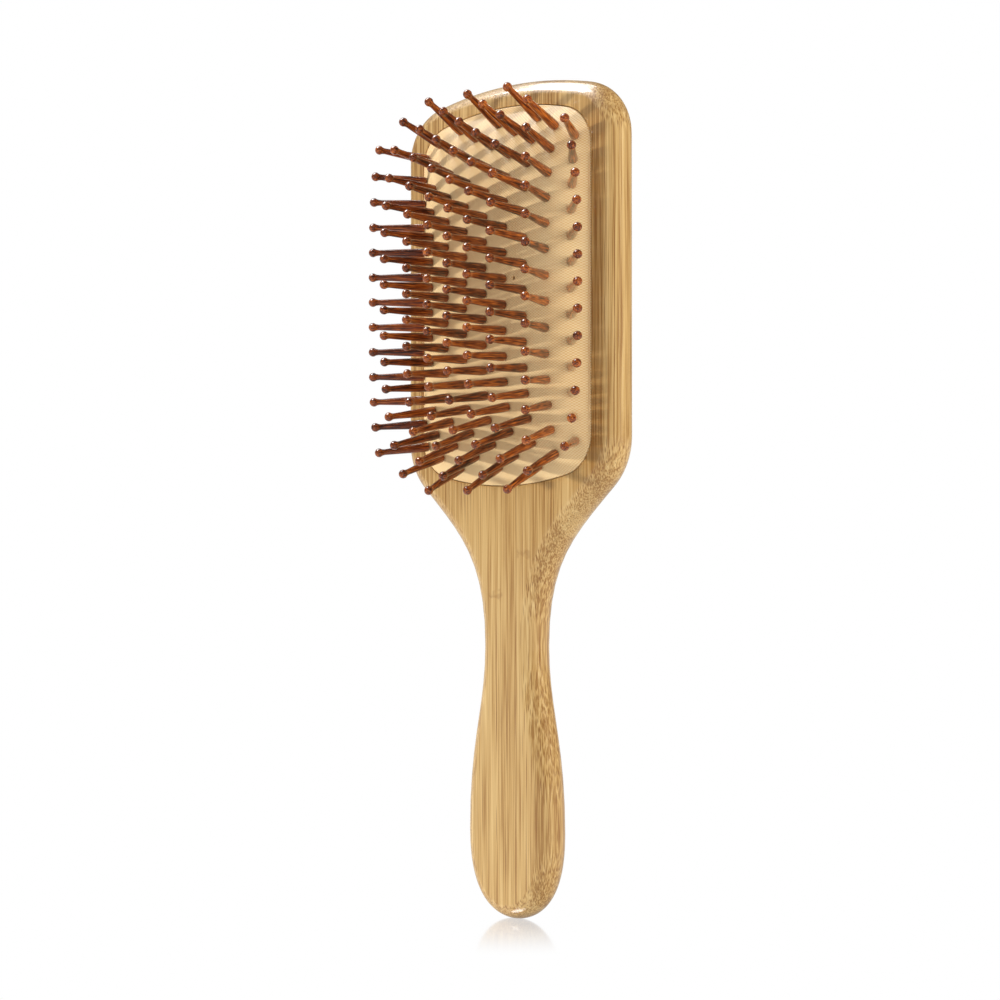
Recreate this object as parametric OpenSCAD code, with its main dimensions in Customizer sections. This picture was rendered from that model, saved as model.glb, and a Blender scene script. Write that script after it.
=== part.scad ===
// Paddle hair brush: a one-piece bamboo board with a domed rubber air
// cushion let into its face, and nine staggered columns of ball-tipped pins.
// Millimetres. +Z runs up the handle to the head, the pins point to -Y and
// the flat back faces +Y. The origin is where a hand holds the handle, in
// the middle of its width and thickness.

/* [Board] */
// Overall length, from the handle end to the top of the head
brush_l = 245; // [230:1:294]
// Width of the head
head_w = 83; // [69:0.5:100]
// Thickness of the board
board_t = 11.5; // [9.5:0.1:14]
// How far the rounded edge draws in at each face
edge_inset = 4.6; // [3:0.1:4.7]
// Radius of the arc across the top of the head
crown_r = 130; // [100:1:200]
// Radius of the two upper corners of the head
corner_r = 16; // [12:0.5:22]
// Radius of the two shoulders under the head
shoulder_r = 20; // [14:0.5:26]
// Slope of the shoulders from the handle's length, in degrees
shoulder_angle = 47; // [38:1:55]

/* [Handle] */
// Greatest width of the handle
handle_w = 33.4; // [28:0.2:40]
// Height of the greatest width above the handle end
handle_bulge_z = 25.3; // [21:0.1:30]
// Width of the neck
neck_w = 21.2; // [17.6:0.1:25.5]
// Height of the neck above the handle end
neck_z = 79.7; // [66:0.1:96]
// Height of the hand's hold above the handle end
hold_z = 50; // [40:1:60]

/* [Recess] */
// Rim of wood beside the cushion
side_rim = 8.6; // [7.2:0.1:10.3]
// Rim of wood above the cushion, on the centre line
top_rim = 7.5; // [6.5:0.1:9]
// Wood left behind the recess
floor_t = 3.5; // [2.9:0.1:4.2]
// Radius of the arc across each end of the cushion
recess_crown_r = 100; // [80:1:150]
// Radius of the corners of the cushion
recess_corner_r = 12; // [10:0.5:14.5]
// Wood lip in front of the groove that holds the cushion
lip_t = 1.8; // [1.5:0.1:2.2]
// Depth of the groove into the side of the recess
groove_d = 1.4; // [1.1:0.1:1.7]

/* [Cushion] */
// Length of the cushion
cushion_l = 111; // [92:0.5:125]
// Height of the dome above the board's face
dome_h = 8.8; // [7.3:0.1:10.6]
// Thickness of the rubber
rubber_t = 1.5; // [1.2:0.1:1.8]
// Thickness of the bead that sits in the groove
bead_t = 1.6; // [1.3:0.1:1.9]
// Diameter of the air hole
vent_d = 1.1; // [0.9:0.1:1.4]

/* [Pins] */
// Length of a pin, from the rubber to the middle of its ball
pin_l = 15.4; // [12.8:0.1:18.5]
// Diameter of the ball
ball_d = 2.7; // [2.3:0.05:3.3]
// Diameter of the pin's foot on the rubber
foot_d = 2.85; // [2.4:0.05:3.4]
// Diameter of the waist behind the ball
waist_d = 1.7; // [1.4:0.1:2.1]
// Diameter of the stem that passes through the rubber
stem_d = 1.5; // [1.3:0.1:1.8]
// Diameter of the head that holds the pin behind the rubber
anchor_d = 3.4; // [2.8:0.1:4]
// Rubber between the outer pins and the edge of the recess
pin_margin = 4.2; // [3.5:0.1:5]

/* [Hidden] */

bamboo = [0.84, 0.69, 0.43];
cream_rubber = [0.93, 0.81, 0.60];
brown_wood = [0.55, 0.29, 0.14];

side_columns = 4;           // columns on each side of the middle one
end_row = 7;                // the last row, counted from the middle
edge_steps = 8;             // facets round the board's edge
dome_rings = 10;
side_steps = 6;             // facets on half of the cushion's straight side
fit_gap = 0.25;             // rubber to wood
stem_gap = 0.06;            // stem to rubber, on the radius
seat_gap = 0.25;            // foot and anchor to the rubber
anchor_t = 0.9;
dome_inset = [1, 2.2];      // flat rubber beside and beyond the dome
dome_power = [5.2, 3.6];    // how square the dome is, across and along
splay = [1.16, 1.03];       // lean of the pins against the dome's slope
column_squeeze = 0.072;     // how much closer the outermost column stands
row_squeeze = 0.045;        // how much closer the outermost row stands

face_y = -board_t / 2;
recess_half_w = head_w / 2 - side_rim;
recess_half_l = cushion_l / 2;
cushion_z = brush_l - top_rim - recess_half_l - hold_z;
handle_end_z = -hold_z;
shoulder_z = cushion_z - recess_half_l + shoulder_r * 0.69;
dome_half = [recess_half_w - dome_inset[0], recess_half_l - dome_inset[1]];
column_pitch = (recess_half_w - pin_margin) / side_columns / (1 - column_squeeze);
row_pitch = (recess_half_l - pin_margin * 1.35) / end_row / (1 - row_squeeze);

// ---- outlines ----

// A cubic curve through its four control points, without its last point
function curve(a, b, c, d, steps) = [
    for (i = [0 : steps - 1])
        let (t = i / steps, u = 1 - t)
            a * u^3 + 3 * b * u^2 * t + 3 * c * u * t^2 + d * t^3
];

// An arc from one angle to another, both ends included
function arc(centre, r, from, to, steps) = [
    for (i = [0 : steps])
        let (a = from + (to - from) * i / steps)
            centre + r * [cos(a), sin(a)]
];

// The quarter of a rounded end: a corner arc and half of the crown arc,
// from the side up to the centre line
function quarter(half_w, top_z, crown, corner) =
    let (
        lean = asin((half_w - corner) / (crown - corner)),
        crown_z = top_z - crown,
        middle = [half_w - corner, crown_z + (crown - corner) * cos(lean)]
    )
    concat(
        arc(middle, corner, 0, 90 - lean, 7),
        [for (p = arc([0, crown_z], crown, 90 - lean, 90, 7)) if (p[0] < middle[0]) p]
    );

// The right half of the board's outline, from the handle end to the crown
function half_outline() =
    let (
        bulge = [handle_w / 2, handle_end_z + handle_bulge_z],
        neck = [neck_w / 2, handle_end_z + neck_z],
        grow = neck[1] - bulge[1],
        corner = arc([head_w / 2 - shoulder_r, shoulder_z], shoulder_r, -shoulder_angle, 0, 6),
        slope = [sin(shoulder_angle), cos(shoulder_angle)],
        run = norm(corner[0] - neck),
        end = [0, handle_end_z]
    )
    concat(
        curve(end, end + [0.455 * bulge[0], 0], bulge - [0, 0.77 * handle_bulge_z], bulge, 12),
        curve(bulge, bulge + [0, 0.51 * grow], neck - [0, 0.34 * grow], neck, 9),
        curve(neck, neck + [0, 0.47 * run], corner[0] - 0.4 * run * slope, corner[0], 10),
        corner,
        quarter(head_w / 2, brush_l - hold_z, crown_r, corner_r)
    );

function turned(v) = [v[1], -v[0]];
function unit(v) = v / norm(v);

// A half outline moved inwards by d, square to itself
function inset(pts, d) = [
    for (i = [0 : len(pts) - 1])
        let (
            before = i == 0 ? [-pts[1][0], pts[1][1]] : pts[i - 1],
            last = len(pts) - 1,
            after = i == last ? [-pts[last - 1][0], pts[last - 1][1]] : pts[i + 1]
        )
            pts[i] - d * unit(turned(after - before))
];

// The whole outline of the recess, grown by d all round, with points along its
// straight sides for the dome to bend at
function recess_outline(d) =
    let (
        q = quarter(recess_half_w + d, recess_half_l + d, recess_crown_r + d, recess_corner_r + d),
        side = [for (i = [0 : side_steps - 1]) [q[0][0], q[0][1] * (i + 0.5) / side_steps]],
        half = concat(side, q),
        last = len(half) - 1
    )
    concat(
        half,
        [for (i = [last - 1 : -1 : 0]) [-half[i][0], half[i][1]]],
        [for (i = [0 : last]) [-half[i][0], -half[i][1]]],
        [for (i = [last - 1 : -1 : 0]) [half[i][0], -half[i][1]]]
    );

// ---- the dome and where the pins stand on it ----

// Height of the dome at x across and z along from the cushion's middle
function across(x) = 1 - min(abs(x) / dome_half[0], 1)^dome_power[0];
function along(z) = 1 - min(abs(z) / dome_half[1], 1)^dome_power[1];
function dome(x, z) = dome_h * across(x) * along(z);

// Slope of the dome at the same place, as its rise across and along
function slope(x, z) = [
    dome_h * along(z) * dome_power[0] * sign(x)
        * (abs(x) / dome_half[0])^(dome_power[0] - 1) / dome_half[0],
    dome_h * across(x) * dome_power[1] * sign(z)
        * (abs(z) / dome_half[1])^(dome_power[1] - 1) / dome_half[1]
];

function column_x(j) = column_pitch * j * (1 - column_squeeze * (j / side_columns)^2);
function row_z(k) = row_pitch * k * (1 - row_squeeze * (k / end_row)^2);

// Rows of a column: whole steps in every other column and half steps between
function column_rows(j) =
    let (last = abs(j) == side_columns ? end_row - 1 : end_row - (j % 2 == 0 ? 0 : 0.5))
    [for (k = [-last : 1 : last]) k];

// Stands its children on the rubber at column j and row k, along their +Z
module on_dome(j, k) {
    x = column_x(j);
    z = row_z(k);
    lean = slope(x, z);
    way = unit([splay[0] * lean[0], -1, splay[1] * lean[1]]);
    translate([x, face_y - dome(x, z), cushion_z + z])
        rotate([0, acos(way[2]), atan2(way[1], way[0])])
            children();
}

// ---- solids ----

// Closed skin over equal rings of points, with a point at each end
module ring_solid(first, rings, last) {
    n = len(rings[0]);
    m = len(rings);
    tail = n * m + 1;
    polyhedron(
        points = concat([first], [for (r = rings) for (p = r) p], [last]),
        faces = concat(
            [for (i = [0 : n - 1]) [0, 1 + (i + 1) % n, 1 + i]],
            [for (k = [0 : m - 2]) for (i = [0 : n - 1])
                let (a = 1 + k * n, b = a + n, j = (i + 1) % n)
                    each [[a + i, a + j, b + j], [a + i, b + j, b + i]]],
            [for (i = [0 : n - 1])
                let (a = 1 + (m - 1) * n)
                    [a + i, a + (i + 1) % n, tail]]
        )
    );
}

// The board before the recess: its outline, drawn in along a round edge
module blank() {
    half = half_outline();
    n = len(half);
    half_t = board_t / 2;
    round_r = (half_t^2 + edge_inset^2) / (2 * edge_inset);
    reach = asin(half_t / round_r);
    rings = [
        for (k = [0 : edge_steps])
            let (
                a = reach * (2 * k / edge_steps - 1),
                edge = inset(half, round_r * (1 - cos(a))),
                y = round_r * sin(a)
            )
            concat(
                [for (p = edge) [max(p[0], 0), y, p[1]]],
                [for (i = [n - 2 : -1 : 1]) [-edge[i][0], y, edge[i][1]]]
            )
    ];
    w = len(rings[0]);
    back = edge_steps * w;
    polyhedron(
        points = [for (r = rings) for (p = r) p],
        faces = concat(
            // front and back, in strips across the board
            [[0, 1, w - 1]],
            [for (i = [1 : n - 3]) [w - i, i, i + 1, w - i - 1]],
            [[n - 2, n - 1, n]],
            [[back, back + w - 1, back + 1]],
            [for (i = [1 : n - 3]) [back + i, back + w - i, back + w - i - 1, back + i + 1]],
            [[back + n - 2, back + n, back + n - 1]],
            // the round edge
            [for (k = [0 : edge_steps - 1]) for (i = [0 : w - 1])
                let (a = k * w, b = a + w, j = (i + 1) % w)
                    each [[a + i, b + j, a + j], [a + i, b + i, b + j]]]
        )
    );
}

// A prism on the recess outline, from one depth to another below the face
module recess_prism(grow, from, to) {
    translate([0, face_y + to, cushion_z])
        rotate([90, 0, 0])
            linear_extrude(to - from)
                polygon(recess_outline(grow));
}

module paddle_body() {
    color(bamboo)
        difference() {
            blank();
            recess_prism(0, -1, board_t - floor_t);
            recess_prism(groove_d, lip_t, lip_t + bead_t + 2 * fit_gap);
        }
}

// Rubber shell: dome, bead in the groove, and the same dome inside
module cushion_shell() {
    edge = recess_outline(-fit_gap);
    bead = recess_outline(groove_d - fit_gap);
    inner = recess_outline(-fit_gap - rubber_t);
    bead_y = face_y + lip_t + fit_gap;
    // the dome's own height, less what is left of it out at the edge
    function ring(outline, s, drop) = [
        for (i = [0 : len(outline) - 1])
            let (
                p = outline[i] * s,
                left = dome(edge[i][0], edge[i][1]) * (norm(p) / norm(edge[i]))^8
            )
            [p[0], face_y + drop - max(dome(p[0], p[1]) - left, 0), cushion_z + p[1]]
    ];
    function flat(outline, y) = [for (p = outline) [p[0], y, cushion_z + p[1]]];
    share = [for (k = [1 : dome_rings]) 1 - (1 - k / dome_rings)^1.5];
    ring_solid(
        [0, face_y - dome_h, cushion_z],
        concat(
            [for (s = share) ring(edge, s, 0)],
            [flat(edge, bead_y), flat(bead, bead_y), flat(bead, bead_y + bead_t)],
            [flat(inner, bead_y + bead_t)],
            [for (i = [dome_rings - 1 : -1 : 0]) ring(inner, share[i], rubber_t)]
        ),
        [0, face_y - dome_h + rubber_t, cushion_z]
    );
}

module air_cushion() {
    color(cream_rubber)
        difference() {
            cushion_shell();
            for (j = [-side_columns : side_columns])
                for (k = column_rows(j))
                    on_dome(j, k)
                        translate([0, 0, -2 * rubber_t])
                            cylinder(d = stem_d + 2 * stem_gap, h = 3 * rubber_t, $fn = 24);
            // air hole, between two columns just above the middle
            translate([column_x(1.5), face_y - dome_h + 2 * rubber_t, cushion_z + row_z(0.5)])
                rotate([90, 0, 0])
                    cylinder(d = vent_d, h = 3 * rubber_t, $fn = 24);
        }
}

// One pin, standing on the rubber along +Z, anchored behind it
module pin() {
    under = rubber_t * 1.15 + seat_gap;
    rotate_extrude($fn = 24)
        polygon([
            [0, -under - anchor_t],
            [anchor_d / 2, -under - anchor_t],
            [anchor_d / 2, -under - anchor_t / 3],
            [stem_d / 2, -under],
            [stem_d / 2, seat_gap],
            [foot_d / 2 - 0.3, seat_gap],
            [foot_d / 2, seat_gap + 0.5],
            [foot_d / 2, pin_l * 0.14],
            [waist_d / 2, pin_l - ball_d / 2 - 0.4],
            [waist_d / 2, pin_l],
            [0, pin_l]
        ]);
    translate([0, 0, pin_l])
        sphere(d = ball_d, $fn = 32);
}

// All pins of column i, counted from the -X side
module pins_column(i) {
    j = i - 1 - side_columns;
    color(brown_wood)
        for (k = column_rows(j))
            on_dome(j, k)
                pin();
}

paddle_body();
air_cushion();
for (i = [1 : 2 * side_columns + 1])
    pins_column(i);
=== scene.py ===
import math

import bmesh
import bpy
import numpy as np
from mathutils import Matrix, Vector


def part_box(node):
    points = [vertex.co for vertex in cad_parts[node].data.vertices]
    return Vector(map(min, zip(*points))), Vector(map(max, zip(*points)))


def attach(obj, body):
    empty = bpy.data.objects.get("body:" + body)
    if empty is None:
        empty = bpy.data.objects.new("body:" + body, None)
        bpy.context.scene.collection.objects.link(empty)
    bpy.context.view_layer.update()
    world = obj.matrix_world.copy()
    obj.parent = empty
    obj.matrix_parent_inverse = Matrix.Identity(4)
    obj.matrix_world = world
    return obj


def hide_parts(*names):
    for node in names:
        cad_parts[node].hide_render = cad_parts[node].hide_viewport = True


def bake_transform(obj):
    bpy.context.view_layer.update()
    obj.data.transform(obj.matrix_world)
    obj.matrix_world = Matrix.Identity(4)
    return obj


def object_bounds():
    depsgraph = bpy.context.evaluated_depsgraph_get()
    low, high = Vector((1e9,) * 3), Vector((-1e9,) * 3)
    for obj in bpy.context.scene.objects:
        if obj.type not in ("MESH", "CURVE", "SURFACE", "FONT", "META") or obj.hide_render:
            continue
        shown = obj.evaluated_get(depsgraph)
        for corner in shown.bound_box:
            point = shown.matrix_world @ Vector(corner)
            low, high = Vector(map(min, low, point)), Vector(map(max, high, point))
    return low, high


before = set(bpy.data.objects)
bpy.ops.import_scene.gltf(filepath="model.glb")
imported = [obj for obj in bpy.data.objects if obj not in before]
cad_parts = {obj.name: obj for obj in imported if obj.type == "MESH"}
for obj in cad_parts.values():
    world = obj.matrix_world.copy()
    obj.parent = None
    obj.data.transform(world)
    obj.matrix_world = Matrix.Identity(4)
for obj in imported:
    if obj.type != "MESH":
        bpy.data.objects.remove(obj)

# A bamboo paddle brush: varnished board, moulded rubber cushion, 127 browned wooden pins.
# Metres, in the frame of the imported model: +Z up the handle, the pins point to -Y.

mm = 0.001
nearly = 0.01 * mm   # two depths closer than this are the same
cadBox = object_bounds()
scene = bpy.context.scene
scene.view_settings.view_transform = "Standard"
scene.cycles.max_bounces = 5
scene.cycles.diffuse_bounces = 3
scene.cycles.glossy_bounces = 3
print("frame loaded:", len(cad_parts), "nodes")


# small helpers

def colour(hexCode):
    # sRGB hex to the linear values that shaders take
    parts = [int(hexCode[i:i + 2], 16) / 255 for i in (1, 3, 5)]
    return [c / 12.92 if c <= 0.04045 else ((c + 0.055) / 1.055) ** 2.4 for c in parts] + [1.0]


def addNode(tree, kind, inputs=None, **settings):
    # one node, its settings, and its inputs: a socket is linked, anything else is a value
    node = tree.nodes.new(kind)
    for name, value in settings.items():
        setattr(node, name, value)
    for key, value in (inputs or {}).items():
        if isinstance(value, bpy.types.NodeSocket):
            tree.links.new(value, node.inputs[key])
        else:
            node.inputs[key].default_value = value
    return node


def startMaterial(name):
    material = bpy.data.materials.new(name)
    material.use_nodes = True
    material.node_tree.nodes.clear()
    return material, material.node_tree


def rampNode(tree, value, stops):
    # a colour ramp through (place, hex) stops
    node = addNode(tree, "ShaderNodeValToRGB", {"Fac": value})
    elements = node.color_ramp.elements
    while len(elements) < len(stops):
        elements.new(0.5)
    for element, (place, hexCode) in zip(elements, stops):
        element.position = place
        element.color = colour(hexCode)
    return node


def newObject(name, mesh, material):
    mesh.materials.clear()
    mesh.materials.append(material)
    obj = bpy.data.objects.new(name, mesh)
    scene.collection.objects.link(obj)
    return obj


def cadPoints(name):
    # the corners of a CAD node's mesh, each once
    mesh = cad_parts[name].data
    points = np.empty(len(mesh.vertices) * 3, np.float32)
    mesh.vertices.foreach_get("co", points)
    return np.unique(points.reshape(-1, 3).astype(float).round(7), axis=0)


# outlines, as arrays of (x, z)

splitLength = 3 * mm   # long straights of an outline are split to this before it is smoothed
curveSteps = 8         # points on the curve between two of them


def resample(points, step, closed):
    # an even, smooth run through the points
    pts = [np.array(p, float) for p in points]
    pairs = list(zip(pts, pts[1:] + pts[:1])) if closed else list(zip(pts, pts[1:]))
    fine = []
    for a, b in pairs:
        parts = max(1, round(np.linalg.norm(b - a) / splitLength))
        fine += [a + (b - a) * i / parts for i in range(parts)]
    if not closed:
        fine.append(pts[-1])
    fine = np.array(fine)
    n = len(fine)
    before = np.roll(fine, 1, axis=0)
    after = np.roll(fine, -1, axis=0)
    tangent = (after - before) / 2
    if not closed:
        tangent[0], tangent[-1] = fine[1] - fine[0], fine[-1] - fine[-2]
        tangent[0][1] = tangent[-1][1] = 0  # both ends cross the centre line square
    dense = []
    for i in range(n if closed else n - 1):
        a, b, ta, tb = fine[i], fine[(i + 1) % n], tangent[i], tangent[(i + 1) % n]
        for t in np.arange(curveSteps) / curveSteps:
            h = (2 * t**3 - 3 * t**2 + 1, t**3 - 2 * t**2 + t, -2 * t**3 + 3 * t**2, t**3 - t**2)
            dense.append(h[0] * a + h[1] * ta + h[2] * b + h[3] * tb)
    dense.append(fine[0] if closed else fine[-1])
    dense = np.array(dense)
    along = np.concatenate([[0], np.cumsum(np.linalg.norm(np.diff(dense, axis=0), axis=1))])
    count = max(8, round(along[-1] / step))
    places = np.linspace(0, along[-1], count + 1)
    if closed:
        places = places[:-1]
    return np.stack([np.interp(places, along, dense[:, k]) for k in (0, 1)], axis=1)


def outward(loop):
    # unit normals of a closed loop that runs anticlockwise from the pins' side
    along = np.roll(loop, -1, axis=0) - np.roll(loop, 1, axis=0)
    along /= np.linalg.norm(along, axis=1)[:, None]
    return np.stack([along[:, 1], -along[:, 0]], axis=1)


def addRing(bm, loop, depth):
    return [bm.verts.new((x, depth, z)) for x, z in loop]


def bridge(bm, a, b):
    n = len(a)
    for i in range(n):
        j = (i + 1) % n
        bm.faces.new((a[i], a[j], b[j], b[i]))


def smoothMesh(bm, name):
    bmesh.ops.recalc_face_normals(bm, faces=bm.faces)
    mesh = bpy.data.meshes.new(name)
    bm.to_mesh(mesh)
    bm.free()
    mesh.polygons.foreach_set("use_smooth", [True] * len(mesh.polygons))
    return mesh


# camera and light

cameraSetup = {
    "place": (0.40511, -0.45662, 0.06335),
    "azimuth": 42.05,     # degrees round from the pins' side
    "rise": 0.862,        # degrees up
    "lens": 74.73,
}
turn, rise = math.radians(cameraSetup["azimuth"]), math.radians(cameraSetup["rise"])
lookAlong = Vector((-math.sin(turn) * math.cos(rise), math.cos(turn) * math.cos(rise), math.sin(rise)))
cameraData = bpy.data.cameras.new("camera")
cameraData.lens = cameraSetup["lens"]
cameraData.sensor_width = 36
camera = bpy.data.objects.new("camera", cameraData)
camera.location = cameraSetup["place"]
camera.rotation_mode = "QUATERNION"
camera.rotation_quaternion = lookAlong.to_track_quat("-Z", "Y")
scene.collection.objects.link(camera)
scene.camera = camera

lightSetup = {
    "surround": 0.62,     # brightness of the pale room
    "above": 0.75,        # share of it that comes from straight above
    "inVarnish": 0.22,    # share of it that varnish mirrors
    "high": (0.30, 0.95),       # from where to where a direction counts as straight above
    "backdrop": (0.86, 0.95),   # how near the white backdrop a direction must be
    "aim": (0, 0, 0.09),        # where every lamp points
    "lamps": [
        # name, place, size, watts, lights surfaces, shows in varnish
        ("key_left", (-0.72, -0.66, 0.01), 0.08, 5.6, True, False),
        ("front_soft", (0.45, -0.90, 0.30), 0.60, 0.8, True, False),
        ("spark_left", (-0.38, -0.28, 0.92), 0.36, 12.0, False, True),
        ("overhead", (-0.35, 0.02, 1.00), 0.42, 4.0, True, True),
        ("right_soft", (0.95, 0.15, 0.25), 0.60, 6.4, True, False),
        ("back_soft", (-0.20, 0.95, 0.35), 0.60, 4.0, True, False),
    ],
}


def makeLights(setup):
    world = bpy.data.worlds.new("room")
    scene.world = world
    world.use_nodes = True
    tree = world.node_tree
    tree.nodes.clear()
    way = addNode(tree, "ShaderNodeTexCoord").outputs["Generated"]
    parts = addNode(tree, "ShaderNodeSeparateXYZ", {0: way})
    height = addNode(tree, "ShaderNodeMapRange", {
        "Value": parts.outputs["Z"], "From Min": setup["high"][0], "From Max": setup["high"][1],
        "To Min": setup["surround"], "To Max": setup["surround"] * setup["above"]})
    ray = addNode(tree, "ShaderNodeLightPath")
    dimmed = addNode(tree, "ShaderNodeMath", {0: height.outputs[0], 1: setup["inVarnish"]},
                     operation="MULTIPLY")
    room = addNode(tree, "ShaderNodeMix", {
        0: ray.outputs["Is Glossy Ray"], 2: height.outputs[0], 3: dimmed.outputs[0]}, data_type="FLOAT")
    facing = addNode(tree, "ShaderNodeVectorMath", {0: way, 1: lookAlong}, operation="DOT_PRODUCT")
    near, full = setup["backdrop"]
    white = addNode(tree, "ShaderNodeMapRange", {
        "Value": facing.outputs["Value"], "From Min": near, "From Max": full},
        interpolation_type="SMOOTHSTEP")
    whiter = addNode(tree, "ShaderNodeMath", {0: ray.outputs["Is Camera Ray"], 1: white.outputs[0]},
                     operation="MAXIMUM")
    strength = addNode(tree, "ShaderNodeMix", {
        0: whiter.outputs[0], 2: room.outputs[0], 3: 1.0}, data_type="FLOAT")
    light = addNode(tree, "ShaderNodeBackground", {"Color": (1, 1, 1, 1), "Strength": strength.outputs[0]})
    addNode(tree, "ShaderNodeOutputWorld", {"Surface": light.outputs[0]})
    for name, spot, size, watts, lights, shows in setup["lamps"]:
        data = bpy.data.lights.new(name, "AREA")
        data.size = size
        data.energy = watts
        lamp = bpy.data.objects.new(name, data)
        lamp.location = spot
        lamp.visible_diffuse = lights
        lamp.visible_glossy = shows
        aim = Vector(setup["aim"]) - lamp.location
        lamp.rotation_mode = "QUATERNION"
        lamp.rotation_quaternion = aim.to_track_quat("-Z", "Y")
        scene.collection.objects.link(lamp)


makeLights(lightSetup)

floorSetup = {
    "size": 12.0,
    "shine": 0.42,        # how much of the brush it mirrors, right under it
    "fade": (0.008, 0.056),
    "blur": 0.10,
    "bounce": 0.66,       # how bright the brush sees it, against 1 from the camera
}


def makeFloor(setup):
    material, tree = startMaterial("white_acrylic_table")
    material.cycles.emission_sampling = "NONE"
    place = addNode(tree, "ShaderNodeTexCoord")
    reach = addNode(tree, "ShaderNodeVectorMath", {0: place.outputs["Object"]}, operation="LENGTH")
    share = addNode(tree, "ShaderNodeMapRange", {
        "Value": reach.outputs["Value"], "From Min": setup["fade"][0], "From Max": setup["fade"][1],
        "To Min": setup["shine"], "To Max": 0.0}, interpolation_type="SMOOTHSTEP")
    ray = addNode(tree, "ShaderNodeLightPath")
    level = addNode(tree, "ShaderNodeMapRange", {
        "Value": ray.outputs["Is Camera Ray"], "To Min": setup["bounce"]})
    lit = addNode(tree, "ShaderNodeEmission", {"Color": (1, 1, 1, 1), "Strength": level.outputs[0]})
    shine = addNode(tree, "ShaderNodeBsdfGlossy", {"Color": (1, 1, 1, 1), "Roughness": setup["blur"]})
    mixed = addNode(tree, "ShaderNodeMixShader", {
        0: share.outputs[0], 1: lit.outputs[0], 2: shine.outputs[0]})
    addNode(tree, "ShaderNodeOutputMaterial", {"Surface": mixed.outputs[0]})
    half = setup["size"] / 2
    mesh = bpy.data.meshes.new("floor")
    corners = [(-half, -half, 0), (half, -half, 0), (half, half, 0), (-half, half, 0)]
    mesh.from_pydata(corners, [], [(0, 1, 2, 3)])
    floor = newObject("floor", mesh, material)
    floor.location = (0, 0, cadBox[0].z)


makeFloor(floorSetup)
print("camera, light and floor set")


# materials

bambooSetup = {
    "light": "#E4C080", "middle": "#CAA05F", "dark": "#A5773A",
    "fibre": "#85521F",
    "strip": 5.4 * mm,    # width of the strips that the board is glued up from
    "bundle": 0.58 * mm,  # spacing of the dark fibre bundles
    "wander": 0.8 * mm,   # how far a bundle strays sideways along the cane
    "joint": 470 * mm,    # distance between the joints of the cane
    "sway": 1.3 * mm,     # how far the strips and their glue lines bend
}


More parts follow.
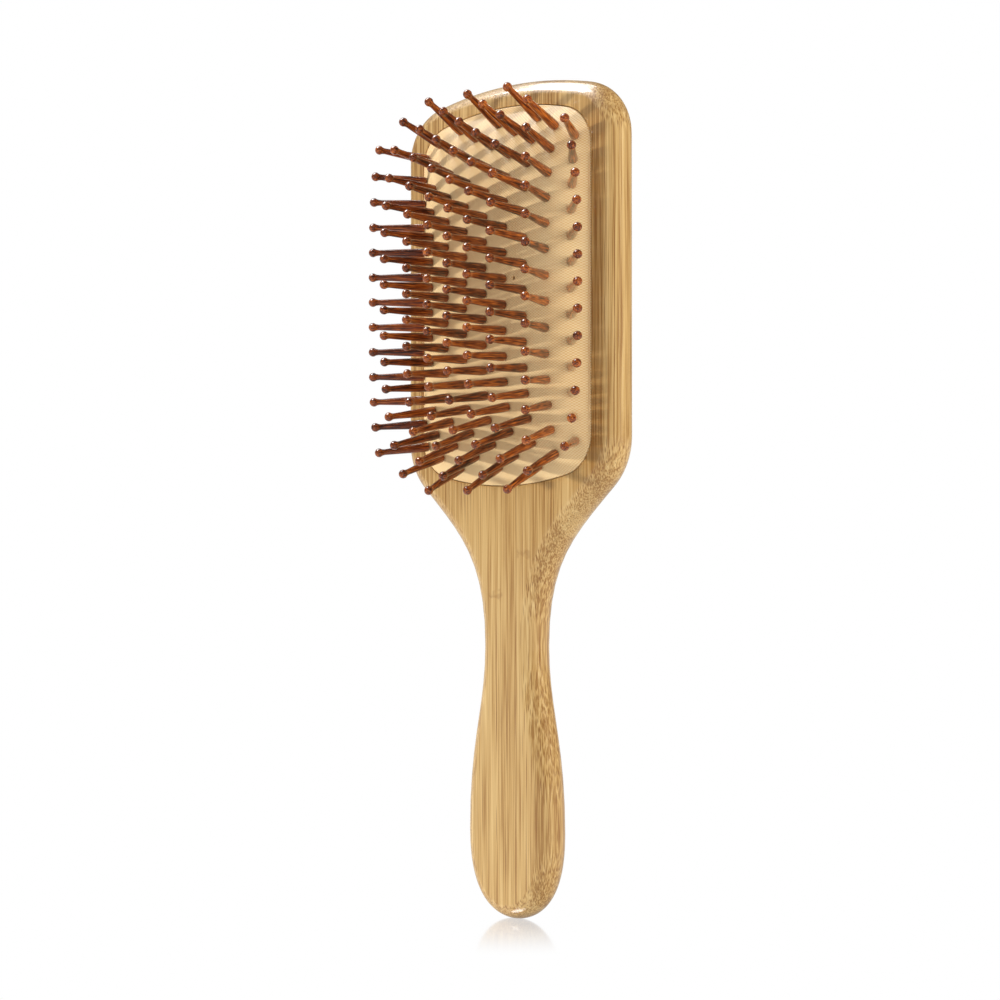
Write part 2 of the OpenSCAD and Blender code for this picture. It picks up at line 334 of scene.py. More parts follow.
def makeBamboo(setup):
    # glued bamboo, sanded and varnished: long fibres on the faces, cut ends as dots on the round edges
    material, tree = startMaterial("varnished_bamboo")
    place = addNode(tree, "ShaderNodeTexCoord").outputs["Object"]
    parts = addNode(tree, "ShaderNodeSeparateXYZ", {0: place})
    sway = addNode(tree, "ShaderNodeTexNoise", {"Vector": place, "Scale": 18.0, "Detail": 2.0})
    bent = addNode(tree, "ShaderNodeMath", {0: sway.outputs["Fac"], 1: setup["sway"], 2: parts.outputs["X"]},
                   operation="MULTIPLY_ADD")

    # strips, each with its own tone, and a thin glue line between
    across = addNode(tree, "ShaderNodeMath", {0: bent.outputs[0], 1: setup["strip"]}, operation="DIVIDE")
    number = addNode(tree, "ShaderNodeMath", {0: across.outputs[0]}, operation="FLOOR")
    tone = addNode(tree, "ShaderNodeTexWhiteNoise", {"W": number.outputs[0]}, noise_dimensions="1D")
    inside = addNode(tree, "ShaderNodeMath", {0: across.outputs[0]}, operation="FRACT")
    offEdge = addNode(tree, "ShaderNodeMath", {0: inside.outputs[0], 1: 0.5}, operation="SUBTRACT")
    edge = addNode(tree, "ShaderNodeMath", {0: offEdge.outputs[0]}, operation="ABSOLUTE")
    glue = addNode(tree, "ShaderNodeMapRange", {
        "Value": edge.outputs[0], "From Min": 0.475, "From Max": 0.495, "To Min": 0.0, "To Max": 0.14})

    # fine fibres and broad streaks along the handle
    streakPlace = addNode(tree, "ShaderNodeMapping", {0: place, "Scale": (900, 900, 12)})
    streaks = addNode(tree, "ShaderNodeTexNoise", {0: streakPlace.outputs[0], "Scale": 1.0, "Detail": 3.0})
    finePlace = addNode(tree, "ShaderNodeMapping", {0: place, "Scale": (2600, 2600, 30)})
    fine = addNode(tree, "ShaderNodeTexNoise", {0: finePlace.outputs[0], "Scale": 1.0, "Detail": 2.0})

    # fibre bundles: dark cores that run along the cane and wander a little
    bundle = setup["bundle"]
    strayPlace = addNode(tree, "ShaderNodeMapping", {0: place, "Scale": (70, 70, 38)})
    stray = addNode(tree, "ShaderNodeTexNoise", {0: strayPlace.outputs[0], "Scale": 1.0, "Detail": 1.0})
    strayed = addNode(tree, "ShaderNodeVectorMath", {
        0: stray.outputs["Color"], 1: (setup["wander"],) * 3, 2: place}, operation="MULTIPLY_ADD")
    bundlePlace = addNode(tree, "ShaderNodeMapping", {0: strayed.outputs[0], "Scale": (1 / bundle,) * 3})
    cells = addNode(tree, "ShaderNodeTexVoronoi", {
        0: bundlePlace.outputs[0], "Scale": 1.0, "Randomness": 0.7}, feature="F1", voronoi_dimensions="2D")
    core = addNode(tree, "ShaderNodeMapRange", {
        "Value": cells.outputs["Distance"], "From Min": 0.11, "From Max": 0.24,
        "To Min": 1.0, "To Max": 0.0})
    cellTone = addNode(tree, "ShaderNodeSeparateColor", {0: cells.outputs["Color"]})
    kept = addNode(tree, "ShaderNodeMapRange", {
        "Value": cellTone.outputs[0], "From Min": 0.0, "From Max": 0.8, "To Min": 0.35, "To Max": 0.90})
    fibre = addNode(tree, "ShaderNodeMath", {0: core.outputs[0], 1: kept.outputs[0]}, operation="MULTIPLY")

    # cane joints, at a different height in each strip
    shift = addNode(tree, "ShaderNodeMath", {0: tone.outputs["Value"], 1: 1.7, 2: 0.12},
                    operation="MULTIPLY_ADD")
    ladder = addNode(tree, "ShaderNodeMath", {
        0: parts.outputs["Z"], 1: 1 / setup["joint"], 2: shift.outputs[0]}, operation="MULTIPLY_ADD")
    ripple = addNode(tree, "ShaderNodeTexNoise", {"Vector": place, "Scale": 420.0, "Detail": 2.0})
    rough = addNode(tree, "ShaderNodeMath", {0: ripple.outputs["Fac"], 1: 0.012, 2: ladder.outputs[0]},
                    operation="MULTIPLY_ADD")
    step = addNode(tree, "ShaderNodeMath", {0: rough.outputs[0]}, operation="FRACT")
    fromJoint = addNode(tree, "ShaderNodeMath", {0: step.outputs[0], 1: 0.5}, operation="SUBTRACT")
    nearJoint = addNode(tree, "ShaderNodeMath", {0: fromJoint.outputs[0]}, operation="ABSOLUTE")
    joint = addNode(tree, "ShaderNodeMapRange", {
        "Value": nearJoint.outputs[0], "From Min": 0.0006, "From Max": 0.003, "To Min": 0.30, "To Max": 0.0})

    # put together: tone of the strip, streaks, fine fibre, then the dark marks
    stripTone = addNode(tree, "ShaderNodeMath", {0: tone.outputs["Value"], 1: 0.16}, operation="MULTIPLY")
    streaked = addNode(tree, "ShaderNodeMath", {0: streaks.outputs["Fac"], 1: 0.45, 2: stripTone.outputs[0]},
                       operation="MULTIPLY_ADD")
    grained = addNode(tree, "ShaderNodeMath", {0: fine.outputs["Fac"], 1: 1.05, 2: streaked.outputs[0]},
                      operation="MULTIPLY_ADD")
    base = rampNode(tree, grained.outputs[0], [
        (0.58, setup["light"]), (0.84, setup["middle"]), (1.0, setup["dark"])])
    marks = addNode(tree, "ShaderNodeMath", {0: fibre.outputs[0], 1: joint.outputs[0]}, operation="MAXIMUM")
    dark = addNode(tree, "ShaderNodeMath", {0: marks.outputs[0], 1: glue.outputs[0]}, operation="MAXIMUM")
    wood = addNode(tree, "ShaderNodeMix", {
        0: dark.outputs[0], 6: base.outputs[0], 7: colour(setup["fibre"])}, data_type="RGBA")
    relief = addNode(tree, "ShaderNodeMath", {0: marks.outputs[0], 1: -0.6, 2: fine.outputs["Fac"]},
                     operation="MULTIPLY_ADD")
    bump = addNode(tree, "ShaderNodeBump", {
        "Height": relief.outputs[0], "Strength": 0.22, "Distance": 0.15 * mm})
    sheen = addNode(tree, "ShaderNodeMapRange", {
        "Value": streaks.outputs["Fac"], "From Min": 0.3, "From Max": 0.7, "To Min": 0.36, "To Max": 0.48})
    shader = addNode(tree, "ShaderNodeBsdfPrincipled", {
        "Base Color": wood.outputs[2], "Roughness": sheen.outputs[0], "IOR": 1.5,
        "Coat Weight": 0.7, "Coat Roughness": 0.12, "Normal": bump.outputs[0]})
    addNode(tree, "ShaderNodeOutputMaterial", {"Surface": shader.outputs[0]})
    return material


rubberSetup = {
    "light": "#FFE2AC", "shade": "#EBB66F",
    "dotAcross": 1.04 * mm,   # spacing of the moulded dots, in two rows that interlock
    "dotAlong": 0.76 * mm,
}


def makeRubber(setup):
    # moulded natural rubber: soft low sheen, a grain of small raised dots from the mould, with painted light
    # on the dots and painted shade between them
    material, tree = startMaterial("cream_rubber")
    place = addNode(tree, "ShaderNodeTexCoord").outputs["Object"]
    parts = addNode(tree, "ShaderNodeSeparateXYZ", {0: place})
    waves = []
    for axis, spacing in (("X", setup["dotAcross"]), ("Z", setup["dotAlong"])):
        angle = addNode(tree, "ShaderNodeMath", {0: parts.outputs[axis], 1: 2 * math.pi / spacing},
                        operation="MULTIPLY")
        waves.append(addNode(tree, "ShaderNodeMath", {0: angle.outputs[0]}, operation="COSINE"))
    dots = addNode(tree, "ShaderNodeMath", {0: waves[0].outputs[0], 1: waves[1].outputs[0]},
                   operation="MULTIPLY")
    raised = addNode(tree, "ShaderNodeMapRange", {
        "Value": dots.outputs[0], "From Min": -0.5, "From Max": 0.7, "To Min": 0.0, "To Max": 1.0},
        interpolation_type="SMOOTHSTEP")
    cloud = addNode(tree, "ShaderNodeTexNoise", {"Vector": place, "Scale": 70.0, "Detail": 3.0})
    speck = addNode(tree, "ShaderNodeTexNoise", {"Vector": place, "Scale": 1900.0, "Detail": 1.0})
    # painted highlight and shade: the raised dots are painted lighter and the hollows between them darker;
    # the cloud and speck add the rubber's own uneven tone
    dotsPaintedLit = addNode(tree, "ShaderNodeMath", {0: raised.outputs[0], 1: 0.42, 2: 0.22},
                     operation="MULTIPLY_ADD")
    clouded = addNode(tree, "ShaderNodeMath", {0: cloud.outputs["Fac"], 1: 0.35, 2: dotsPaintedLit.outputs[0]},
                      operation="MULTIPLY_ADD")
    specked = addNode(tree, "ShaderNodeMath", {0: speck.outputs["Fac"], 1: 0.16, 2: clouded.outputs[0]},
                      operation="MULTIPLY_ADD")
    skin = rampNode(tree, specked.outputs[0], [(0.30, setup["shade"]), (0.80, setup["light"])])
    bump = addNode(tree, "ShaderNodeBump", {
        "Height": raised.outputs[0], "Strength": 0.30, "Distance": 0.10 * mm})
    shader = addNode(tree, "ShaderNodeBsdfPrincipled", {
        "Base Color": skin.outputs[0], "Roughness": 0.52, "IOR": 1.52, "Specular IOR Level": 0.35,
        "Normal": bump.outputs[0]})
    addNode(tree, "ShaderNodeOutputMaterial", {"Surface": shader.outputs[0]})
    return material


pinWoodSetup = {
    "light": "#CE7226", "middle": "#964612", "dark": "#3E1604",
    "grain": 0.34 * mm,   # width of the grain lines
}


def makePinWood(setup):
    # hardwood pins browned by heat and lacquered: lengthwise grain under a clear gloss
    material, tree = startMaterial("carbonised_pin_wood")
    place = addNode(tree, "ShaderNodeAttribute", attribute_name="grainPlace")
    tone = addNode(tree, "ShaderNodeAttribute", attribute_name="tone")
    width = setup["grain"]
    stretched = addNode(tree, "ShaderNodeMapping", {
        0: place.outputs["Vector"], "Scale": (1 / width, 1 / width, 0.06 / width)})
    grain = addNode(tree, "ShaderNodeTexNoise", {0: stretched.outputs[0], "Scale": 1.0, "Detail": 3.0})
    broadPlace = addNode(tree, "ShaderNodeMapping", {
        0: place.outputs["Vector"], "Scale": (0.3 / width, 0.3 / width, 0.05 / width)})
    broad = addNode(tree, "ShaderNodeTexNoise", {0: broadPlace.outputs[0], "Scale": 1.0, "Detail": 1.0})
    grained = addNode(tree, "ShaderNodeMath", {0: grain.outputs["Fac"], 1: 1.7, 2: -0.42},
                      operation="MULTIPLY_ADD")
    streaked = addNode(tree, "ShaderNodeMath", {0: broad.outputs["Fac"], 1: 0.4, 2: grained.outputs[0]},
                       operation="MULTIPLY_ADD")
    pinTone = addNode(tree, "ShaderNodeMath", {0: tone.outputs["Fac"], 1: 0.10, 2: streaked.outputs[0]},
                      operation="MULTIPLY_ADD")
    skin = rampNode(tree, pinTone.outputs[0], [
        (0.40, setup["dark"]), (0.72, setup["middle"]), (1.0, setup["light"])])
    bump = addNode(tree, "ShaderNodeBump", {
        "Height": grain.outputs["Fac"], "Strength": 0.12, "Distance": 0.1 * mm})
    shader = addNode(tree, "ShaderNodeBsdfPrincipled", {
        "Base Color": skin.outputs[0], "Roughness": 0.45, "IOR": 1.5, "Specular IOR Level": 0.2,
        "Coat Weight": 1.0, "Coat Roughness": 0.05, "Normal": bump.outputs[0]})
    addNode(tree, "ShaderNodeOutputMaterial", {"Surface": shader.outputs[0]})
    return material


bamboo = makeBamboo(bambooSetup)
rubber = makeRubber(rubberSetup)
pinWood = makePinWood(pinWoodSetup)
print("materials made")


# the board

boardSetup = {
    "step": 1.1 * mm,         # spacing of points along the outline
    "edgeRings": 18,          # points round the bullnose
    "ridge": 0.30 * mm,       # softened ridge between the bullnose and the flat faces
    "ridgeSteps": (0.0, 0.3, 0.6, 1.0),   # from the flat face, over the ridge, on to the bullnose
    "lip": 1.8 * mm,          # wood lip over the groove
    "groove": (1.4 * mm, 2.1 * mm),   # depth and height of the groove under the lip
    "lipRound": 0.3 * mm,
    "recessStep": 1.0 * mm,   # spacing of points round the recess
}

boardPoints = cadPoints("paddle_body")
boardLow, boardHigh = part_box("paddle_body")
faceY, backY = boardLow.y, boardHigh.y
halfThick = (backY - faceY) / 2
middleY = (backY + faceY) / 2


def boardOutline():
    # the widest ring of the CAD board, mirrored about its centre line
    ring = boardPoints[(abs(boardPoints[:, 1] - middleY) < nearly) & (boardPoints[:, 0] > -nearly)]
    ring = ring[np.argsort(ring[:, 2])][:, (0, 2)]
    half = resample(ring, boardSetup["step"], closed=False)
    half[0][0] = half[-1][0] = 0
    left = half[1:-1][::-1] * (-1, 1)
    return np.concatenate([half, left])


def edgeInset():
    # how far the flat face stands inside the widest outline, taken at the handle end
    faceRing = boardPoints[abs(boardPoints[:, 1] - faceY) < nearly]
    return faceRing[:, 2].min() - boardLow.z


def recessOutline():
    # the recess, from the corners of its floor, the deepest level that stays inside the head
    depths = boardPoints[:, 1].round(5)
    floorY = max(y for y in np.unique(depths) if boardPoints[depths == y][:, 2].min() > 0)
    pts = boardPoints[depths == floorY][:, (0, 2)]
    centre = (pts[:, 1].min() + pts[:, 1].max()) / 2
    order = np.argsort(np.arctan2(pts[:, 1] - centre, pts[:, 0]))
    return resample(pts[order], boardSetup["recessStep"], closed=True), centre, floorY


outline = boardOutline()
recess, cushionZ, floorY = recessOutline()
recessNormal = outward(recess)


def makeBoard():
    inset = edgeInset()
    normal = outward(outline)
    roundR = (halfThick**2 + inset**2) / (2 * inset)
    reach = math.asin(halfThick / roundR)
    arcEnd = reach - boardSetup["ridge"] / roundR
    start = (inset + boardSetup["ridge"], -halfThick)
    corner = (inset, -halfThick)
    stop = (roundR * (1 - math.cos(arcEnd)), -roundR * math.sin(arcEnd))
    ridge = [tuple((1 - t)**2 * p + 2 * t * (1 - t) * q + t**2 * r for p, q, r in zip(start, corner, stop))
             for t in boardSetup["ridgeSteps"]]
    arc = np.linspace(-arcEnd, arcEnd, boardSetup["edgeRings"])

    # rows of (inset, depth), from the front face round to the back face
    rows = ridge + [(roundR * (1 - math.cos(a)), roundR * math.sin(a)) for a in arc[1:-1]]
    rows += [(d, -y) for d, y in reversed(ridge)]
    bm = bmesh.new()
    rings = [addRing(bm, outline - normal * d, middleY + y) for d, y in rows]
    frontFlat = addRing(bm, outline - normal * (inset + 3 * boardSetup["ridge"]), faceY)
    backFlat = addRing(bm, outline - normal * (inset + 3 * boardSetup["ridge"]), backY)
    for a, b in zip([frontFlat] + rings, rings + [backFlat]):
        bridge(bm, a, b)

    # the recess: rounded lip, groove, floor
    lip, (deep, tall), soft = boardSetup["lip"], boardSetup["groove"], boardSetup["lipRound"]
    walls = [(4 * soft, 0), (soft, 0), (0.3 * soft, 0.3 * soft), (0, soft), (0, lip), (deep, lip),
             (deep, lip + tall), (0, lip + tall), (0, floorY - faceY)]
    inner = [addRing(bm, recess + recessNormal * d, faceY + y) for d, y in walls]
    for a, b in zip(inner, inner[1:]):
        bridge(bm, a, b)
    bm.faces.new(inner[-1])
    bm.faces.new(backFlat)
    n, m = len(frontFlat), len(inner[0])
    rim = [bm.edges.get((frontFlat[i], frontFlat[(i + 1) % n])) for i in range(n)]
    rim += [bm.edges.get((inner[0][i], inner[0][(i + 1) % m])) for i in range(m)]
    bmesh.ops.triangle_fill(bm, edges=rim, use_beauty=True)
    bmesh.ops.triangulate(bm, faces=[f for f in bm.faces if len(f.verts) > 4])
    board = newObject("bamboo_board", smoothMesh(bm, "bamboo_board"), bamboo)
    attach(board, "board")
    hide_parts("paddle_body")
    return board


board = makeBoard()
print("board made:", len(board.data.polygons), "faces")


# the pins, found on the CAD columns

pinSetup = {
    "length": 15.4 * mm,      # rubber to the middle of the ball
    "ballWidth": 2.7 * mm,
    "footWidth": 2.85 * mm,
    "waistWidth": 1.7 * mm,
    "footRound": 0.45 * mm,
    "straight": 2.1 * mm,     # how far the foot runs before the taper starts
    "gap": 0.06 * mm,         # foot to rubber
    "weld": 0.0005 * mm,      # points closer than this are one
    "rings": 26,
    "sides": 14,
    "seed": 7,
}


cadWeld = 0.002 * mm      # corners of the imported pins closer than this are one
tailBand = 0.04 * mm      # how much of the inner end is averaged to find a pin's axis
headBand = 0.25 * mm      # and of the ball


def pinsOf(node):
    # where each pin of a column meets the rubber, and which way it points
    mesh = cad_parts[node].data
    bm = bmesh.new()
    bm.from_mesh(mesh)
    bmesh.ops.remove_doubles(bm, verts=bm.verts, dist=cadWeld)
    bm.verts.ensure_lookup_table()
    seen, found = set(), []
    for first in bm.verts:
        if first in seen:
            continue
        seen.add(first)
        pile, island = [first], []
        while pile:
            v = pile.pop()
            island.append(tuple(v.co))
            for edge in v.link_edges:
                other = edge.other_vert(v)
                if other not in seen:
                    seen.add(other)
                    pile.append(other)
        pts = np.array(island)
        axis = np.linalg.svd(pts - pts.mean(0), full_matrices=False)[2][0]
        axis *= -np.sign(axis[1])  # pins point to -Y
        for _ in range(3):
            t = pts @ axis
            tail = pts[t < t.min() + tailBand].mean(0)
            head = pts[t > t.max() - headBand].mean(0)
            axis = (head - tail) / np.linalg.norm(head - tail)
        tip = (pts @ axis).max()
        onAxis = tail + axis * (tip - tail @ axis)
        found.append((onAxis - axis * (pinSetup["length"] + pinSetup["ballWidth"] / 2), axis))
    bm.free()
    return sorted(found, key=lambda pin: pin[0][2])


def pinTree():
    # one pin drawn as a line swept by a round profile, then stood on every point
    tree = bpy.data.node_groups.new("pins_on_points", "GeometryNodeTree")
    face = tree.interface
    face.new_socket("Geometry", in_out="INPUT", socket_type="NodeSocketGeometry")
    for name, value in (("Length", "length"), ("Ball Width", "ballWidth"), ("Foot Width", "footWidth"),
                        ("Waist Width", "waistWidth"), ("Foot Round", "footRound"), ("Straight", "straight"),
                        ("Gap", "gap")):
        socket = face.new_socket(name, in_out="INPUT", socket_type="NodeSocketFloat")
        socket.default_value = pinSetup[value]
    for name, value in (("Rings", "rings"), ("Sides", "sides"), ("Seed", "seed")):
        socket = face.new_socket(name, in_out="INPUT", socket_type="NodeSocketInt")
        socket.default_value = pinSetup[value]
    face.new_socket("Material", in_out="INPUT", socket_type="NodeSocketMaterial")
    face.new_socket("Geometry", in_out="OUTPUT", socket_type="NodeSocketGeometry")
    given = addNode(tree, "NodeGroupInput").outputs

    def maths(operation, *values):
        return addNode(tree, "ShaderNodeMath", dict(enumerate(values)), operation=operation).outputs[0]

    ballR = maths("MULTIPLY", given["Ball Width"], 0.5)
    footR = maths("MULTIPLY", given["Foot Width"], 0.5)
    waistR = maths("MULTIPLY", given["Waist Width"], 0.5)
    total = maths("ADD", given["Length"], ballR)
    line = addNode(tree, "GeometryNodeMeshLine", {"Count": given["Rings"]})
    spine = addNode(tree, "GeometryNodeMeshToCurve", {"Mesh": line.outputs[0]})

    # rings stand closer together at the foot and over the ball
    index = addNode(tree, "GeometryNodeInputIndex").outputs[0]
    share = maths("DIVIDE", index, maths("SUBTRACT", given["Rings"], 1.0))
    wave = maths("COSINE", maths("MULTIPLY", share, math.pi))
    height = maths("MULTIPLY", total, maths("MULTIPLY_ADD", wave, -0.5, 0.5))
    spot = addNode(tree, "ShaderNodeCombineXYZ", {"Z": height})
    placed = addNode(tree, "GeometryNodeSetPosition", {
        "Geometry": spine.outputs[0], "Position": spot.outputs[0]})

    # radius: rounded foot, straight, taper to the waist, ball
    ballStart = maths("SUBTRACT", given["Length"], ballR)
    taper = addNode(tree, "ShaderNodeMapRange", {
        "Value": height, "From Min": given["Straight"], "From Max": ballStart,
        "To Min": footR, "To Max": waistR}).outputs[0]
    below = maths("MAXIMUM", maths("SUBTRACT", given["Foot Round"], height), 0.0)
    roundSquare = maths("MULTIPLY", given["Foot Round"], given["Foot Round"])
    cornerSquare = maths("SUBTRACT", roundSquare, maths("MULTIPLY", below, below))
    corner = maths("ADD", maths("SUBTRACT", footR, given["Foot Round"]),
                   maths("SQRT", maths("MAXIMUM", cornerSquare, 0.0)))
    belowBall = maths("LESS_THAN", height, given["Length"])
    shaft = maths("MULTIPLY", maths("MINIMUM", taper, corner), belowBall)
    off = maths("SUBTRACT", height, given["Length"])
    ballSquare = maths("SUBTRACT", maths("MULTIPLY", ballR, ballR), maths("MULTIPLY", off, off))
    ball = maths("SQRT", maths("MAXIMUM", ballSquare, 1e-10))
    radius = maths("MAXIMUM", shaft, ball)
    profile = addNode(tree, "GeometryNodeCurvePrimitiveCircle", {
        "Resolution": given["Sides"], "Radius": 1.0})
    swept = addNode(tree, "GeometryNodeCurveToMesh", {
        "Curve": placed.outputs[0], "Profile Curve": profile.outputs[0],
        "Scale": radius, "Fill Caps": True})
    here = addNode(tree, "GeometryNodeInputPosition").outputs[0]
    marked = addNode(tree, "GeometryNodeStoreNamedAttribute", {
        "Geometry": swept.outputs[0], "Name": "pinPlace", "Value": here},
        data_type="FLOAT_VECTOR", domain="POINT")
    lift = addNode(tree, "ShaderNodeCombineXYZ", {"Z": given["Gap"]})
    lifted = addNode(tree, "GeometryNodeTransform", {
        "Geometry": marked.outputs[0], "Translation": lift.outputs[0]})

    # stand a pin on each point, along the direction it carries, turned at random about itself
    way = addNode(tree, "GeometryNodeInputNamedAttribute", {"Name": "way"}, data_type="FLOAT_VECTOR")
    aimed = addNode(tree, "FunctionNodeAlignRotationToVector", {"Vector": way.outputs[0]}, axis="Z")
    spin = addNode(tree, "FunctionNodeRandomValue", {
        2: 0.0, 3: 2 * math.pi, "Seed": given["Seed"]}, data_type="FLOAT").outputs[1]
    about = addNode(tree, "FunctionNodeAxisAngleToRotation", {"Axis": (0, 0, 1), "Angle": spin}).outputs[0]
    turned = addNode(tree, "FunctionNodeRotateRotation", {0: aimed.outputs[0], 1: about},
                     rotation_space="LOCAL")
    tone = addNode(tree, "FunctionNodeRandomValue", {
        2: -1.0, 3: 1.0, "Seed": maths("ADD", given["Seed"], 5.0)}, data_type="FLOAT").outputs[1]
    toned = addNode(tree, "GeometryNodeStoreNamedAttribute", {
        "Geometry": given["Geometry"], "Name": "tone", "Value": tone}, data_type="FLOAT", domain="POINT")
    apart = addNode(tree, "FunctionNodeRandomValue", {
        0: (0, 0, 0), 1: (0.2, 0.2, 0.2), "Seed": maths("ADD", given["Seed"], 9.0)},
        data_type="FLOAT_VECTOR").outputs[0]
    moved = addNode(tree, "GeometryNodeStoreNamedAttribute", {
        "Geometry": toned.outputs[0], "Name": "apart", "Value": apart},
        data_type="FLOAT_VECTOR", domain="POINT")
    stood = addNode(tree, "GeometryNodeInstanceOnPoints", {
        "Points": moved.outputs[0], "Instance": lifted.outputs[0], "Rotation": turned.outputs[0]})
    real = addNode(tree, "GeometryNodeRealizeInstances", {"Geometry": stood.outputs[0]})
    local = addNode(tree, "GeometryNodeInputNamedAttribute", {"Name": "pinPlace"}, data_type="FLOAT_VECTOR")
    ownShift = addNode(tree, "GeometryNodeInputNamedAttribute", {"Name": "apart"}, data_type="FLOAT_VECTOR")
    grainPlace = addNode(tree, "ShaderNodeVectorMath", {0: local.outputs[0], 1: ownShift.outputs[0]},
                         operation="ADD")
    grained = addNode(tree, "GeometryNodeStoreNamedAttribute", {
        "Geometry": real.outputs[0], "Name": "grainPlace", "Value": grainPlace.outputs[0]},
        data_type="FLOAT_VECTOR", domain="POINT")
    smooth = addNode(tree, "GeometryNodeSetShadeSmooth", {"Geometry": grained.outputs[0]})
    finished = addNode(tree, "GeometryNodeSetMaterial", {
        "Geometry": smooth.outputs[0], "Material": given["Material"]})
    addNode(tree, "NodeGroupOutput", {0: finished.outputs[0]})
    return tree


def makePins():
    tree = pinTree()
    sockets = {item.name: item.identifier for item in tree.interface.items_tree
               if item.item_type == "SOCKET" and item.in_out == "INPUT"}
    feet = []
    columns = sorted(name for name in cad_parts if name.startswith("pins_column_"))
    for number, node in enumerate(columns, 1):
        pins = pinsOf(node)
        feet += [pin[0] for pin in pins]
        points = bpy.data.meshes.new("feet")
        points.from_pydata([tuple(pin[0]) for pin in pins], [], [])
        way = points.attributes.new("way", "FLOAT_VECTOR", "POINT")
        way.data.foreach_set("vector", np.array([pin[1] for pin in pins], np.float32).ravel())
        holder = bpy.data.objects.new("holder", points)
        scene.collection.objects.link(holder)
        modifier = holder.modifiers.new("pins", "NODES")
        modifier.node_group = tree
        modifier[sockets["Material"]] = pinWood
        modifier[sockets["Seed"]] = pinSetup["seed"] + 31 * number
        depsgraph = bpy.context.evaluated_depsgraph_get()
        mesh = bpy.data.meshes.new_from_object(holder.evaluated_get(depsgraph), depsgraph=depsgraph)
        bpy.data.objects.remove(holder)
        bm = bmesh.new()
        bm.from_mesh(mesh)
        bmesh.ops.remove_doubles(bm, verts=bm.verts, dist=pinSetup["weld"])
        bmesh.ops.recalc_face_normals(bm, faces=bm.faces)
        bm.to_mesh(mesh)
        bm.free()
        mesh.name = node.replace("pins", "pin")
        column = newObject("wooden_" + node, mesh, pinWood)
        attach(column, node.replace("pins_", ""))
        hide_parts(node)
    print("pins made:", len(feet), "on", len(columns), "columns")
    return np.array(feet)


feet = makePins()


# the cushion

cushionSetup = {
    "power": (5.2, 3.6),      # how square the dome is, across and along
    "inset": (1.0 * mm, 2.2 * mm),    # flat rubber beside and beyond the dome
    "thick": 1.5 * mm,
    "gap": 0.32 * mm,         # dark line between rubber and wood
    "flatten": 8,             # how late, going outward, the dome gives way to the level edge
    "crowd": 1.35,            # how much closer the rings stand towards the edge
    "innerStep": 4,           # the underside has one ring for so many on top
    "edgeRound": ((0.10 * mm, 0.22 * mm), (0.12 * mm, 0.7 * mm)),   # out and down, at the rim
    "beadSlack": (0.25 * mm, 0.25 * mm, 0.5 * mm),   # bead to groove: lip, bottom, and both sides
    "pinned": 1.25 * mm,      # rim depth held by the board
    "dimple": (0.10 * mm, 1.75 * mm),   # depth and reach of the dent under each pin
    "rings": 60,
    "vent": (11.44 * mm, 3.73 * mm, 1.1 * mm),   # air hole: across, above the middle, width
}

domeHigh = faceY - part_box("air_cushion")[0].y
domeHalf = (recess[:, 0].max() - cushionSetup["inset"][0],
            (recess[:, 1].max() - recess[:, 1].min()) / 2 - cushionSetup["inset"][1])


def domeAt(x, z):
    across = 1 - np.minimum(abs(x) / domeHalf[0], 1) ** cushionSetup["power"][0]
    along = 1 - np.minimum(abs(z - cushionZ) / domeHalf[1], 1) ** cushionSetup["power"][1]
    return domeHigh * across * along


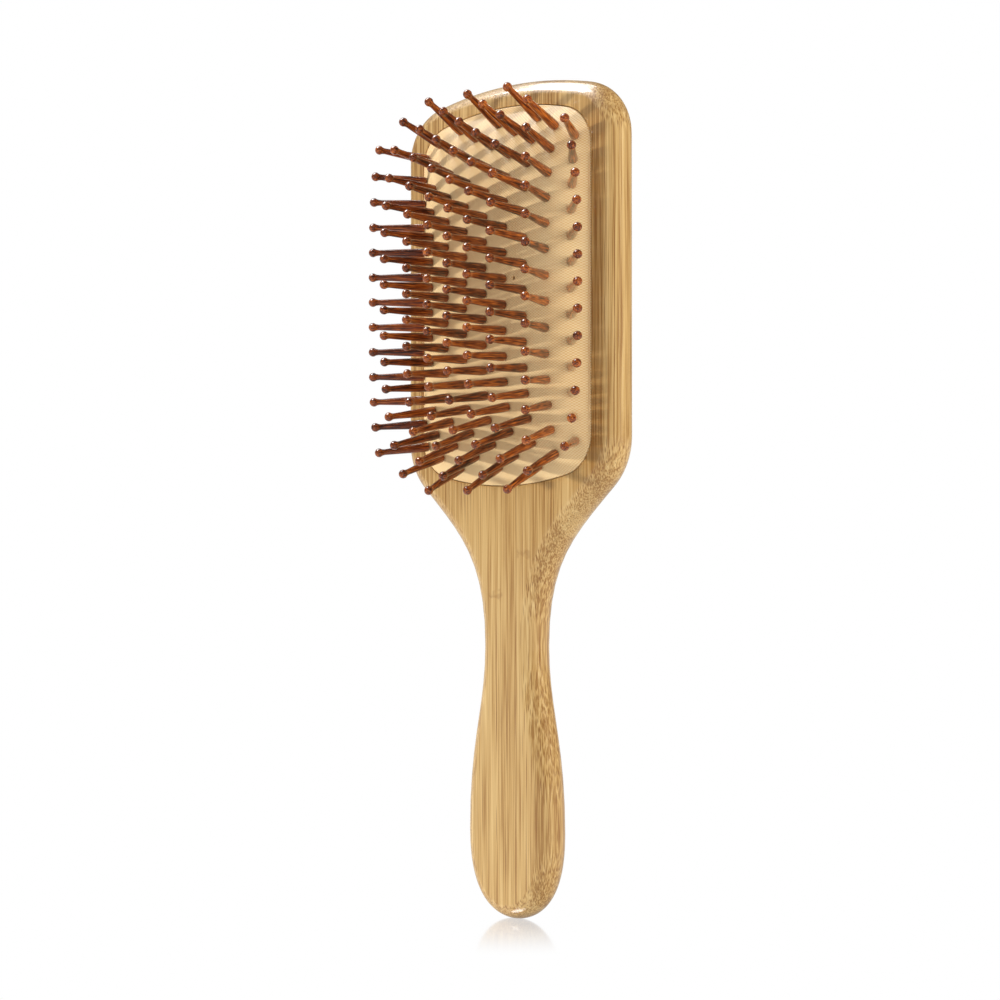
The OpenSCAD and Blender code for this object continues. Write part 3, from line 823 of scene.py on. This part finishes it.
def makeCushion():
    gap, thick = cushionSetup["gap"], cushionSetup["thick"]
    edge = recess - recessNormal * gap
    centre = np.array((0, cushionZ))
    atEdge = domeAt(edge[:, 0], edge[:, 1])
    depth, spread = cushionSetup["dimple"]

    def ring(bm, loop, share, drop):
        pts = centre + (loop - centre) * share
        level = atEdge * share ** cushionSetup["flatten"]
        rise = np.maximum(domeAt(pts[:, 0], pts[:, 1]) - level, 0)
        for x, _, z in feet:
            far = (pts[:, 0] - x) ** 2 + (pts[:, 1] - z) ** 2
            rise = rise - depth * np.exp(-far / spread**2)
        return [bm.verts.new((x, faceY + drop - h, z)) for (x, z), h in zip(pts, rise)]

    bm = bmesh.new()
    count = cushionSetup["rings"]
    shares = [1 - (1 - k / count) ** cushionSetup["crowd"] for k in range(1, count + 1)]
    rings = [ring(bm, edge, share, 0) for share in shares]
    deep, tall = boardSetup["groove"]
    underLip, atBottom, bothSides = cushionSetup["beadSlack"]
    top = boardSetup["lip"] + underLip
    bottom = top + tall - bothSides
    out = gap + deep - atBottom
    rim = cushionSetup["edgeRound"]
    for d, y in (*rim, (rim[-1][0], top), (out, top), (out, bottom), (-thick, bottom)):
        rings.append(addRing(bm, edge + recessNormal * d, faceY + y))
    inner = edge - recessNormal * thick
    underside = shares[::cushionSetup["innerStep"]] + [shares[-1]]
    rings += [ring(bm, inner, share, thick) for share in reversed(underside)]
    for a, b in zip(rings, rings[1:]):
        bridge(bm, a, b)
    for loop in (rings[0], rings[-1]):
        n = len(loop)
        hub = bm.verts.new(sum((v.co for v in loop), Vector()) / n)
        for i in range(n):
            bm.faces.new((loop[i], loop[(i + 1) % n], hub))
    cushion = newObject("rubber_cushion", smoothMesh(bm, "rubber_cushion"), rubber)

    # the air hole
    x, up, wide = cushionSetup["vent"]
    stand = Matrix.Translation((x, faceY - domeHigh, cushionZ + up)) @ Matrix.Rotation(math.pi / 2, 4, "X")
    bm = bmesh.new()
    bmesh.ops.create_cone(bm, cap_ends=True, segments=24, radius1=wide / 2, radius2=wide / 2,
                          depth=8 * mm, matrix=stand)
    cutter = newObject("cutter", smoothMesh(bm, "cutter"), rubber)
    hole = cushion.modifiers.new("air_hole", "BOOLEAN")
    hole.operation = "DIFFERENCE"
    hole.solver = "EXACT"
    hole.object = cutter
    depsgraph = bpy.context.evaluated_depsgraph_get()
    cut = bpy.data.meshes.new_from_object(cushion.evaluated_get(depsgraph), depsgraph=depsgraph)
    cushion.modifiers.clear()
    cushion.data = cut
    bpy.data.objects.remove(cutter)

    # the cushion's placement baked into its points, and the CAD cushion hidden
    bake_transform(cushion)
    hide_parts("air_cushion")
    return cushion


cushion = makeCushion()
print("cushion made:", len(cushion.data.polygons), "faces")
